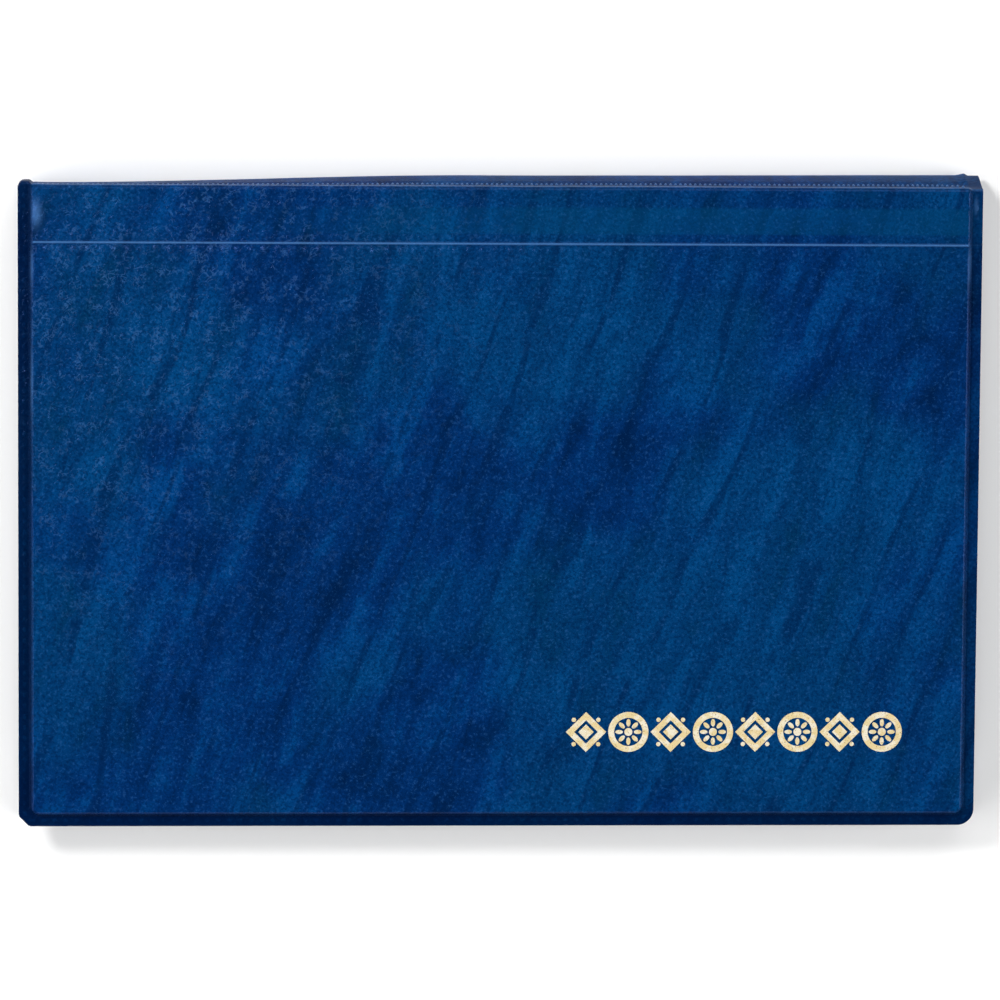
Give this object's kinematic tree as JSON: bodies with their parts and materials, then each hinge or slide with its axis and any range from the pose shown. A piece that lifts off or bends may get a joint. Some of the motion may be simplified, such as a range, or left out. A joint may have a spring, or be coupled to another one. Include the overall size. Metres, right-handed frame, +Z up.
{
  "type": "banknote album",
  "caption": "Flat album with a welded vinyl cover hinged along its top edge, holding clear pocket leaves for banknotes.",
  "frame": {"origin": "middle of the footprint, on the outer face of the back cover", "axes": "+X along the spine, +Y from the foot to the spine, +Z up through the closed album to the front cover"},
  "size_m": [0.185, 0.1252, 0.0114],
  "materials": {
    "vinyl_cover": "marbled blue embossed vinyl",
    "vinyl_lining": "fine-grained dark blue vinyl",
    "greyboard": "uncoated greyboard",
    "binding_strip": "satin vinyl",
    "gold_foil": "hot-stamped foil",
    "clear_film": "clear soft PVC film"
  },
  "bodies": {
    "back_cover": {"back_outer_skin": "vinyl_cover", "back_board": "greyboard", "back_lining": "vinyl_lining"},
    "spine": {"spine_outer_skin": "vinyl_cover", "spine_lining": "vinyl_lining", "binding_strip": "binding_strip"},
    "front_cover": {"front_outer_skin": "vinyl_cover", "front_board": "greyboard", "front_lining": "vinyl_lining", "foil_ornament": "gold_foil"},
    "leaf_01": {"leaf_01_back_film": "clear_film", "leaf_01_pocket_film": "clear_film"},
    "leaf_02": {"leaf_02_back_film": "clear_film", "leaf_02_pocket_film": "clear_film"},
    "leaf_03": {"leaf_03_back_film": "clear_film", "leaf_03_pocket_film": "clear_film"},
    "leaf_04": {"leaf_04_back_film": "clear_film", "leaf_04_pocket_film": "clear_film"},
    "leaf_05": {"leaf_05_back_film": "clear_film", "leaf_05_pocket_film": "clear_film"},
    "leaf_06": {"leaf_06_back_film": "clear_film", "leaf_06_pocket_film": "clear_film"},
    "leaf_07": {"leaf_07_back_film": "clear_film", "leaf_07_pocket_film": "clear_film"},
    "leaf_08": {"leaf_08_back_film": "clear_film", "leaf_08_pocket_film": "clear_film"},
    "leaf_09": {"leaf_09_back_film": "clear_film", "leaf_09_pocket_film": "clear_film"},
    "leaf_10": {"leaf_10_back_film": "clear_film", "leaf_10_pocket_film": "clear_film"},
    "leaf_11": {"leaf_11_back_film": "clear_film", "leaf_11_pocket_film": "clear_film"},
    "leaf_12": {"leaf_12_back_film": "clear_film", "leaf_12_pocket_film": "clear_film"}
  },
  "joints": [
    {"name": "back_hinge", "type": "hinge", "parent": "back_cover", "child": "spine", "pos_m": [0, 0.0626, 0], "axis": [-1, 0, 0], "range_deg": [0, 90]},
    {"name": "front_hinge", "type": "hinge", "parent": "spine", "child": "front_cover", "pos_m": [0, 0.0626, 0.01143], "axis": [-1, 0, 0], "range_deg": [0, 90]},
    {"name": "leaf_01_root", "type": "hinge", "parent": "spine", "child": "leaf_01", "pos_m": [0, 0.0519, 0.00857], "axis": [-1, 0, 0], "range_deg": [0, 81]},
    {"name": "leaf_02_root", "type": "hinge", "parent": "spine", "child": "leaf_02", "pos_m": [0, 0.0519, 0.00802], "axis": [-1, 0, 0], "range_deg": [0, 66.6]},
    {"name": "leaf_03_root", "type": "hinge", "parent": "spine", "child": "leaf_03", "pos_m": [0, 0.0519, 0.00747], "axis": [-1, 0, 0], "range_deg": [0, 52.2]},
    {"name": "leaf_04_root", "type": "hinge", "parent": "spine", "child": "leaf_04", "pos_m": [0, 0.0519, 0.00692], "axis": [-1, 0, 0], "range_deg": [0, 37.8]},
    {"name": "leaf_05_root", "type": "hinge", "parent": "spine", "child": "leaf_05", "pos_m": [0, 0.0519, 0.00637], "axis": [-1, 0, 0], "range_deg": [0, 23.4]},
    {"name": "leaf_06_root", "type": "hinge", "parent": "spine", "child": "leaf_06", "pos_m": [0, 0.0519, 0.00583], "axis": [-1, 0, 0], "range_deg": [0, 9]},
    {"name": "leaf_07_root", "type": "hinge", "parent": "spine", "child": "leaf_07", "pos_m": [0, 0.0519, 0.00528], "axis": [-1, 0, 0], "range_deg": [-9, 0]},
    {"name": "leaf_08_root", "type": "hinge", "parent": "spine", "child": "leaf_08", "pos_m": [0, 0.0519, 0.00473], "axis": [-1, 0, 0], "range_deg": [-23.4, 0]},
    {"name": "leaf_09_root", "type": "hinge", "parent": "spine", "child": "leaf_09", "pos_m": [0, 0.0519, 0.00417], "axis": [-1, 0, 0], "range_deg": [-37.8, 0]},
    {"name": "leaf_10_root", "type": "hinge", "parent": "spine", "child": "leaf_10", "pos_m": [0, 0.0519, 0.00363], "axis": [-1, 0, 0], "range_deg": [-52.2, 0]},
    {"name": "leaf_11_root", "type": "hinge", "parent": "spine", "child": "leaf_11", "pos_m": [0, 0.0519, 0.00308], "axis": [-1, 0, 0], "range_deg": [-66.6, 0]},
    {"name": "leaf_12_root", "type": "hinge", "parent": "spine", "child": "leaf_12", "pos_m": [0, 0.0519, 0.00252], "axis": [-1, 0, 0], "range_deg": [-81, 0]}
  ],
  "couplings": [
    {"joint": "leaf_01_root", "follows": "front_hinge", "ratio": 0.9},
    {"joint": "leaf_02_root", "follows": "front_hinge", "ratio": 0.74},
    {"joint": "leaf_03_root", "follows": "front_hinge", "ratio": 0.58},
    {"joint": "leaf_04_root", "follows": "front_hinge", "ratio": 0.42},
    {"joint": "leaf_05_root", "follows": "front_hinge", "ratio": 0.26},
    {"joint": "leaf_06_root", "follows": "front_hinge", "ratio": 0.1},
    {"joint": "leaf_07_root", "follows": "back_hinge", "ratio": -0.1},
    {"joint": "leaf_08_root", "follows": "back_hinge", "ratio": -0.26},
    {"joint": "leaf_09_root", "follows": "back_hinge", "ratio": -0.42},
    {"joint": "leaf_10_root", "follows": "back_hinge", "ratio": -0.58},
    {"joint": "leaf_11_root", "follows": "back_hinge", "ratio": -0.74},
    {"joint": "leaf_12_root", "follows": "back_hinge", "ratio": -0.9}
  ]
}
